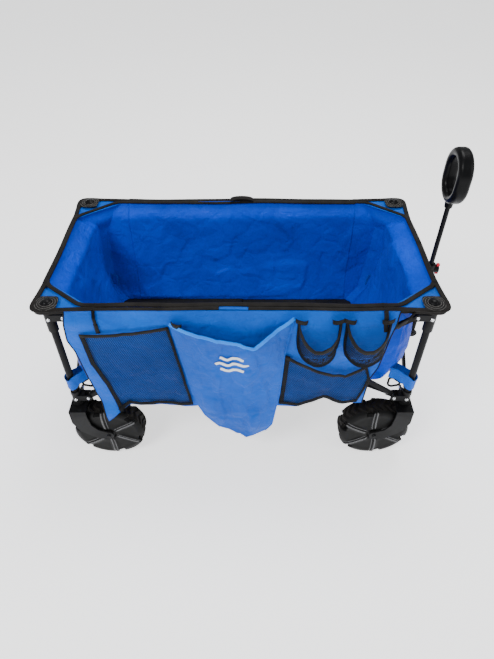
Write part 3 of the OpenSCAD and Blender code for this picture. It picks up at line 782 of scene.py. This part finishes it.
WHEEL_R = 0.1025
SHOULDER_HALF = 0.0225  # half width at the shoulder, where the face meets the tread
TREAD_R = 0.1
PETALS = 6
CHEVRONS = 30


def from_groove(angle, radius):
    """Angle from the nearest groove between two petals. The grooves lean a little round the hub."""
    turn = angle * PETALS / (2 * math.pi) + 0.35 + 1.3 * np.maximum(0, radius - 0.02)
    return (turn - np.round(turn)) * 2 * math.pi / PETALS


def shoulder_notch(away):
    return np.exp(-((away - 0.018) / 0.0095) ** 8)


def wheel_face(angle, radius):
    """One ring of the wheel's face, as its radii and its half widths."""
    crown = np.interp(radius, [0, 0.010, 0.0105, 0.018, 0.022, 0.040, 0.070, 0.088, 0.096, WHEEL_R],
                      [0.030, 0.030, 0.026, 0.026, 0.0315, 0.0320, 0.0318, 0.0300, 0.0275, SHOULDER_HALF])
    away = from_groove(angle, radius) * max(radius, 0.01)
    inside = smooth_step((radius - 0.024) / 0.006)
    groove = np.exp(-((np.abs(away) - 0.0032) / 0.0011) ** 4) * inside
    step = smooth_step((away + 0.0010) / 0.0040) * smooth_step((0.020 - away) / 0.016) * inside
    panel = (smooth_step((np.abs(away) - 0.008) / 0.004) * smooth_step((radius - 0.036) / 0.004)
             * smooth_step((0.080 - radius) / 0.003))
    notch = shoulder_notch(away) * smooth_step((radius - 0.084) / 0.004)
    half = crown - 0.0040 * groove + 0.0016 * step - 0.0020 * panel - 0.0080 * notch
    return radius - (0.0085 * notch if radius > 0.09 else 0 * angle), half


def wheel_tread(angle, place):
    """One ring of the tread, at a place from 1 on one shoulder to -1 on the other."""
    a = abs(place)
    shoulder = WHEEL_R + 0.0005 * (1 - a) - 0.0016 * smooth_step((a - 0.82) / 0.18)
    chevron = (angle * CHEVRONS / (2 * math.pi) + 0.85 * a) % 1.0
    depth = (0.0042 * smooth_step((0.5 - np.abs(chevron - 0.5) - 0.20) / 0.08)
             * smooth_step((0.94 - a) / 0.05))
    notch = shoulder_notch(from_groove(angle, TREAD_R) * TREAD_R) * smooth_step((a - 0.62) / 0.1)
    return shoulder - depth - 0.0085 * notch, SHOULDER_HALF * place + 0 * angle


def wheel_mesh(name, centre, outward_sy):
    """A moulded wheel: six raised petals between double grooves on each face, notched shoulders and
    a chevron tread. The outline is turned about the axle and then pressed in or out point by point."""
    around = 360
    face_r = np.array([0.0, 0.010, 0.0105, 0.018, 0.020, 0.022, 0.030, 0.040, 0.050, 0.060, 0.070, 0.078,
                       0.084, 0.088, 0.092, 0.0955, 0.098, 0.100, 0.1015, WHEEL_R])
    tread = np.linspace(1, -1, 45)
    angle = np.linspace(0, 2 * math.pi, around, endpoint=False)
    face = [wheel_face(angle, r) for r in face_r]
    rows = face + [wheel_tread(angle, t) for t in tread] + [(r, -half) for r, half in face[::-1]]
    points = np.concatenate([np.stack([r * np.cos(angle), outward_sy * half, r * np.sin(angle)], 1)
                             for r, half in rows]) + np.array(centre)
    first_tread, last_tread = len(face_r) - 1, len(face_r) + len(tread) - 1
    faces = grid_faces(len(rows), around, closed_cols=True)
    finish = [1 if first_tread <= i // around < last_tread else 0 for i in range(len(faces))]
    obj = add_mesh(name, points, faces, ["wheel", "tread"], face_mats=finish)
    # Painted highlights: pale lines along both sides of each groove, where light would catch the groove edges
    radius = np.repeat([*face_r, *[TREAD_R] * len(tread), *face_r[::-1]], around)
    away = np.abs(from_groove(np.tile(angle, len(rows)), radius)) * radius
    painted_groove_highlight = np.exp(-((away - 0.0044) / 0.0015) ** 2) * (radius > 0.026) * (radius < 0.094)
    obj.data.attributes.new("painted_groove_highlight", "FLOAT", "POINT").data.foreach_set("value", painted_groove_highlight.astype(np.float32))
    modifier = obj.modifiers.new("edges", "EDGE_SPLIT")
    modifier.split_angle = math.radians(48)
    return apply_modifiers(obj)


def make_wheels():
    for corner, (_, sy) in CORNERS.items():
        wheel = wheel_mesh("wheel_cover_" + corner, middle_of("wheel_" + corner), sy)
        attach(wheel, "wheel_" + corner)
        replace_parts(wheel, "wheel_" + corner)


# ---------------------------------------------------------------- finishes of the frame

def dress_frame():
    """Every CAD piece that stays in view gets its finish."""
    starts = {"bracket": ("lower_bracket", "upper_bracket", "handle_hanger"), "fork": ("fork",),
              "tube": ("inner_post", "outer_post", "floor_bar", "side_bar", "end_bar"),
              "steel": ("lower_rivets", "upper_rivets"), "pole": ("handle_pole", "handle_rod"),
              "grip": ("hand_grip",), "button": ("lock_button",)}
    for name, obj in frame["nodes"].items():
        for key, start in starts.items():
            if name.startswith(start) and obj.type == "MESH":
                obj.data.materials.clear()
                obj.data.materials.append(MATS[key])


# ---------------------------------------------------------------- side panel and pockets

POCKET_FOLD = 0.0076    # depth of the drop pocket's creases
PRINT_FOLD = 0.0056     # less than the cloth's, so the print can stand a few mm off it or touch it
PANEL_LEFT = [(0.187, -0.380), (0.252, -0.389), (0.316, -0.402), (0.385, -0.412), (0.449, -0.421),
              (0.491, -0.433), (0.537, -0.430), (0.580, -0.424)]
PANEL_RIGHT = [(0.243, 0.340), (0.347, 0.346), (0.392, 0.362), (0.501, 0.372), (0.580, 0.386)]
PANEL_FOOT = [(-0.380, 0.187), (-0.342, 0.220), (-0.305, 0.243), (-0.279, 0.232), (-0.145, 0.234),
              (0.103, 0.228), (0.158, 0.222), (0.224, 0.269), (0.281, 0.243), (0.340, 0.243)]


def line(points, value):
    """Straight-line interpolation through (place, value) points."""
    return np.interp(value, [p[0] for p in points], [p[1] for p in points])


def panel_y(x, z):
    """How far out the side panel hangs: over the bars, in to the rim, and out round the rear wheel."""
    rim = 0.0085 * smooth_step((z - 0.540) / 0.040)
    wheel = 0.019 * smooth_step((0.270 - z) / 0.070) * smooth_step((-0.28 - x) / 0.07)
    return -(0.2690 - rim + wheel)


def panel_cloth_y(x, z):
    """The creased panel itself. Pockets follow it, so it never shows through them."""
    low = np.clip((RIM_Z - z) / (RIM_Z - 0.23), 0, 1)
    folds = creases(np.stack([x, z], 1), 301, 0.0042, 0.085, (1.0, 0.75))
    flutter = 0.004 * np.sin(31 * x + 3 * z) * low ** 2
    y = panel_y(x, z) - (folds + flutter) * smooth_step(low / 0.08) - 0.0008
    return np.minimum(y, -0.2642 + 0.006 * smooth_step((z - 0.55) / 0.03))


def crumpling(piece, body="upper_rr"):
    """Pieces of the near side crumple lengthwise with the panel they're sewn to."""
    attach(piece, body)
    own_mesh(piece)
    return piece


def make_panel():
    cols, rows = 200, 84
    u, v = unit_grid(rows, cols)
    foot = line(PANEL_FOOT, -0.380 + 0.720 * u)
    z = foot + (RIM_Z + 0.001 - foot) * v
    x = line(PANEL_LEFT, z) * (1 - u) + line(PANEL_RIGHT, z) * u
    y = panel_cloth_y(x, z)
    panel = add_mesh("side_panel_cloth", world(x, y, z), grid_faces(rows, cols), "panel", np.stack([x, z], 1))
    thicken(panel, 0.0012)
    base = world(x, panel_y(x, z), z)
    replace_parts(crumpling(panel), "side_panel")
    grid = world(x, y, z).reshape(rows, cols, 3)
    for name, edge in (("left", grid[:, 0]), ("right", grid[:, -1]), ("foot", grid[0])):
        path = resample(edge, 0.008)
        crumpling(piping("panel_piping_" + name, path, 0.0019 if name != "foot" else 0.0012,
                         "tape" if name != "foot" else "panel"))


def piping(name, path, radius, mat, sides=8):
    """A round cord sewn along an edge."""
    path = as_points(path)
    tangent = unit(np.gradient(path, axis=0))
    side = unit(np.cross(tangent, (0.31, 0.87, 0.23)))
    turns = np.linspace(0, 2 * math.pi, sides, endpoint=False)
    section = radius * np.stack([np.cos(turns), np.sin(turns)], 1)
    return sweep(name, path, side, np.cross(tangent, side), section, mat, 0)


def flat_pocket(name, left, right, foot, mouth, bulge, mat, seed, border=0.013):
    """A mesh pocket that lies on the panel: left and right are edges by height, foot and mouth by place
    across from 0 to 1."""
    cols, rows = 110, 70
    u, v = unit_grid(rows, cols)
    low, high = line(foot, u), line(mouth, u)
    z = low + (high - low) * v
    x = line(left, z) * (1 - u) + line(right, z) * u
    belly = np.sin(math.pi * u) ** 0.7 * (0.25 + 0.75 * v)
    folds = creases(np.stack([x, z], 1), seed, 0.0024, 0.075, (1.0, 0.8)) * np.minimum(1, 8 * u * (1 - u))
    y = panel_cloth_y(x, z) - 0.0034 - bulge * belly - np.maximum(folds, -0.8 * bulge * belly)
    points = world(x, y, z)
    pocket = add_mesh(name, points, grid_faces(rows, cols), mat, np.stack([x, z], 1))
    crumpling(pocket)
    grid = points.reshape(rows, cols, 3)
    for part, edge, width in (("left", grid[:, 0], border), ("right", grid[:, -1], border * 0.6),
                              ("foot", grid[0], border)):
        path = resample(edge, 0.008) + np.array([0, -0.0022, 0])
        inward = {"left": (0.42, 0, 0), "right": (-0.42, 0, 0), "foot": (0, 0, 0.42)}[part]
        path = path + np.array(inward) * width
        tangent = np.gradient(path, axis=0)
        band = ribbon(f"{name}_{part}_band", path, np.cross(tangent, (0, 1, 0)), width, 0.0016, "mesh_edge")
        crumpling(band)
    top = resample(grid[-1], 0.008) + np.array([0, -0.0010, -0.003])
    crumpling(ribbon(f"{name}_mouth", top, np.cross(np.gradient(top, axis=0), (0, 1, 0)), 0.0100, 0.0028))
    return pocket


DROP_LEFT = [(0.140, -0.055), (0.151, -0.064), (0.201, -0.104), (0.255, -0.126), (0.303, -0.135),
             (0.400, -0.149), (0.554, -0.172)]
DROP_RIGHT = [(0.120, 0.060), (0.133, 0.071), (0.161, 0.089), (0.291, 0.106), (0.449, 0.113), (0.574, 0.130)]
DROP_MOUTH = [(0.0, 0.554), (0.23, 0.533), (0.50, 0.519), (0.70, 0.494), (0.80, 0.526), (1.0, 0.573)]
DROP_FOOT = [(0.0, 0.150), (0.12, 0.142), (0.35, 0.120), (0.60, 0.111), (0.80, 0.117), (1.0, 0.133)]


def drop_swing(z):
    """How far the drop pocket swings out towards its foot."""
    return 0.006 * smooth_step((0.26 - z) / 0.12)


def drop_creases(u, x, z, depth):
    """The drop pocket's own creases, which fade towards its side seams."""
    return creases(np.stack([x, z], 1), 517, depth, 0.075, (1.25, 0.6)) * np.minimum(1, 6 * u * (1 - u))


def drop_surface(u, v):
    low = line(DROP_FOOT, u)
    mouth = line(DROP_MOUTH, u)
    z = low + (mouth - low) * v
    x = line(DROP_LEFT, z) * (1 - u) + line(DROP_RIGHT, z) * u
    belly = np.sin(math.pi * np.clip(u, 0, 1)) ** 0.75
    height = 0.010 + 0.010 * smooth_step(v / 0.25) + 0.008 * smooth_step((v - 0.72) / 0.28)
    return x, -(0.2745 + height * belly + drop_swing(z)), z


def make_drop_pocket():
    cols, rows = 120, 130
    u, v = unit_grid(rows, cols)
    x, y, z = drop_surface(u, v)
    y = y - drop_creases(u, x, z, POCKET_FOLD) - 0.0015
    y = np.minimum(y, panel_cloth_y(x, z) - 0.0022)
    points = world(x, y, z)
    front = add_mesh("drop_pocket_front", points, grid_faces(rows, cols), "pocket", np.stack([x, z], 1))
    thicken(front, 0.0012)
    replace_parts(crumpling(front), "drop_pocket")
    grid = points.reshape(rows, cols, 3)
    top = resample(grid[-1], 0.006) + np.array([0, -0.0006, -0.004])
    crumpling(ribbon("drop_pocket_mouth", top, np.cross(np.gradient(top, axis=0), (0, 1, 0)), 0.011, 0.0026,
                     "panel_seam"))
    # Back sheet, which hangs below the panel
    cols, rows = 60, 50
    u, v = unit_grid(rows, cols)
    low = line(DROP_FOOT, u)
    z = low + (0.300 - low) * v
    x = line(DROP_LEFT, z) * (1 - u) + line(DROP_RIGHT, z) * u
    y = np.minimum(-(0.2735 + drop_swing(z)) - 0.001, panel_cloth_y(x, z) - 0.0012)
    back = add_mesh("drop_pocket_back", world(x, y, z), grid_faces(rows, cols), "panel", np.stack([x, z], 1))
    thicken(back, 0.0010)
    quad_area(world(x, y, z), rows, cols)
    crumpling(back)
    for name, col in (("left", 0), ("right", -1)):
        path = resample(grid[:, col], 0.008) + np.array([0, -0.0008, 0])
        crumpling(piping("drop_seam_" + name, path, 0.0016, "panel"))
    # Small black loop at the rear end of the mouth
    loop = bezier([at(-0.166, -0.2765, 0.552), at(-0.162, -0.290, 0.556), at(-0.146, -0.290, 0.549),
                   at(-0.143, -0.2800, 0.5455)], 12)
    crumpling(ribbon("drop_pocket_loop", loop, UP, 0.013, 0.003))


def make_cup(name, left, right, top, low, seed):
    """A mesh cup sewn to the panel: a band that sags between two tabs, and a gathered bag below it."""
    cols, rows = 70, 50
    u, v = unit_grid(rows, cols)
    across = (1 - np.cos(math.pi * u)) / 2
    out = np.sin(math.pi * u)
    sag = 0.060 * np.clip(out, 0, 1) ** 1.15
    z_top = top - sag
    z = low + (z_top - low) * v
    close = np.sqrt(np.clip(1 - (1 - np.clip(v / 0.62, 0, 1)) ** 2.0, 0, 1))
    z = z + 0.012 * (1 - out) * (1 - v)
    middle = (left + right) / 2
    narrow = 0.60 + 0.40 * close
    x = middle + (left + (right - left) * across - middle) * narrow
    folds = creases(np.stack([u * 0.16, z], 1), seed, 0.0022, 0.035) * np.minimum(1, 10 * u * (1 - u))
    y = panel_cloth_y(x, z) - 0.003 - 0.045 * out * close - folds * close * out
    points = world(x, y, z)
    bag = add_mesh(name, points, grid_faces(rows, cols), "cup_mesh", np.stack([u * 0.16, z], 1))
    crumpling(bag)
    grid = points.reshape(rows, cols, 3)
    band = resample(grid[-1], 0.005) + np.array([0, -0.001, 0.002])
    crumpling(ribbon(name + "_band", band, UP, 0.0125, 0.0026))
    low_band = resample(grid[int(rows * 0.30)], 0.006) + np.array([0, -0.0015, 0])
    crumpling(ribbon(name + "_low_band", low_band, [Vector((0, 0.3, 1))], 0.010, 0.0016, "mesh_edge"))
    for part, col in (("left", 0), ("right", -1)):
        p = grid[-1, col]
        side = 1 if part == "left" else -1
        tab = bezier([p + [side * -0.008, -0.003, 0.004], p + [side * 0.002, -0.016, 0.010],
                      p + [side * 0.016, -0.015, 0.004], p + [side * 0.020, -0.003, 0.000]], 10)
        crumpling(ribbon(f"{name}_tab_{part}", tab, UP, 0.013, 0.0026))
        edge = resample(grid[:, col], 0.008) + np.array([0, -0.002, 0])
        crumpling(ribbon(f"{name}_{part}_edge", edge, ALONG, 0.008, 0.0018, "mesh_edge"))
    return bag


def make_pockets():
    left = flat_pocket("rear_mesh_cloth",
                       [(0.226, -0.341), (0.333, -0.363), (0.411, -0.388), (0.515, -0.397)],
                       [(0.244, -0.134), (0.339, -0.147), (0.537, -0.176)],
                       [(0.0, 0.228), (0.17, 0.252), (0.30, 0.242), (1.0, 0.246)],
                       [(0.0, 0.515), (0.45, 0.523), (1.0, 0.537)], 0.010, "mesh", 611)
    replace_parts(left, "mesh_pockets")
    flat_pocket("front_mesh_cloth",
                [(0.240, 0.106), (0.440, 0.115)],
                [(0.250, 0.322), (0.300, 0.336), (0.351, 0.345), (0.400, 0.330)],
                [(0.0, 0.242), (0.24, 0.232), (0.54, 0.278), (0.80, 0.252), (1.0, 0.253)],
                [(0.0, 0.440), (0.35, 0.402), (0.72, 0.367), (1.0, 0.400)], 0.012, "mesh", 633)
    rear = make_cup("cup_bag_rear", 0.142, 0.243, 0.556, 0.428, 701)
    make_cup("cup_bag_front", 0.259, 0.363, 0.556, 0.421, 733)
    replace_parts(rear, "cup_holders")


def make_print():
    """Plain pale wave lines on the drop pocket, a stand-in for the printed mark."""
    for k, (height, half) in enumerate([(0.452, 0.030), (0.430, 0.042), (0.408, 0.030)]):
        run = np.linspace(-half, half, 40)
        x = run - 0.022
        z = height + 0.0045 * np.sin(2 * math.pi * run / 0.042)
        left, right = line(DROP_LEFT, z), line(DROP_RIGHT, z)
        u = (x - left) / (right - left)
        _, y, _ = drop_surface(u, (z - 0.115) / (0.510 - 0.115))
        y = y - drop_creases(u, x, z, PRINT_FOLD) - 0.0015 - 0.0018
        path = [at(*p) for p in zip(x, y, z)]
        crumpling(ribbon(f"print_wave_{k + 1}", path, UP, 0.0085, 0.0006, "print", 0.0))


def make_fittings():
    """Zip pull, straps, post loops and corner rings."""
    slider = [(-0.352, -0.2640, 0.582), (-0.352, -0.2740, 0.566), (-0.350, -0.2760, 0.548)]
    pull = [(-0.350, -0.2770, 0.550), (-0.349, -0.2780, 0.536), (-0.348, -0.2780, 0.521)]
    strap = [(0.349, -0.2640, 0.582), (0.350, -0.2740, 0.570), (0.351, -0.2790, 0.550),
             (0.352, -0.2900, 0.536)]
    for name, stops, step, width, thick, mat in (("zip_slider", slider, 0.003, 0.0085, 0.0040, "cap"),
                                                 ("zip_pull", pull, 0.003, 0.0110, 0.0026, "cap"),
                                                 ("cup_strap", strap, 0.005, 0.0115, 0.0026, "tape")):
        crumpling(ribbon(name, resample([at(*p) for p in stops], step), ALONG, width, thick, mat))
    brace = resample([at(0.421, -0.2620, 0.576), at(0.405, -0.2680, 0.556), at(0.383, -0.2700, 0.530)], 0.006)
    strap = ribbon("corner_strap", brace, [Vector((0.5, 0.0, 0.8))], 0.0170, 0.0026)
    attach(strap, "upper_fr")
    for corner, (sx, sy) in CORNERS.items():
        body = "upper_" + corner
        plan = [(0.418, 0.196), (0.440, 0.206), (0.462, 0.224)]
        for k in range(15):
            a = math.radians(-62 + 15.2 * k)
            plan.append((POST_X + 0.0140 * math.cos(a), POST_Y + 0.0140 * math.sin(a)))
        plan += [(0.447, 0.2430), (0.434, 0.229), (0.414, 0.2215)]
        path = []
        for k, (x, y) in enumerate(plan):
            dip = 0.016 * abs(math.sin(math.pi * k / (len(plan) - 1))) ** 1.5
            path.append(at(sx * x, sy * y, 0.318 - dip))
        path = resample(path, 0.005)
        loop = ribbon("post_loop_" + corner, path, UP, 0.040, 0.0018, "panel", 0.0)
        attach(loop, body)
        ring = []
        for k in range(40):
            a = 2 * math.pi * k / 40
            flat = 1.0 + 0.16 * math.cos(3 * a)
            ring.append(at(sx * (0.432 + 0.015 * flat * math.cos(a)), sy * (0.2225 + 0.004 * math.cos(a)),
                           0.277 + 0.016 * flat * math.sin(a)))
        ring += ring[:2]
        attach(piping("corner_ring_" + corner, ring, 0.0032, "cap", 10), body)


make_camera()
make_studio()
dress_frame()
make_tub()
make_floor()
make_corners()
make_rims()
make_wheels()
make_panel()
make_drop_pocket()
make_pockets()
make_print()
make_fittings()
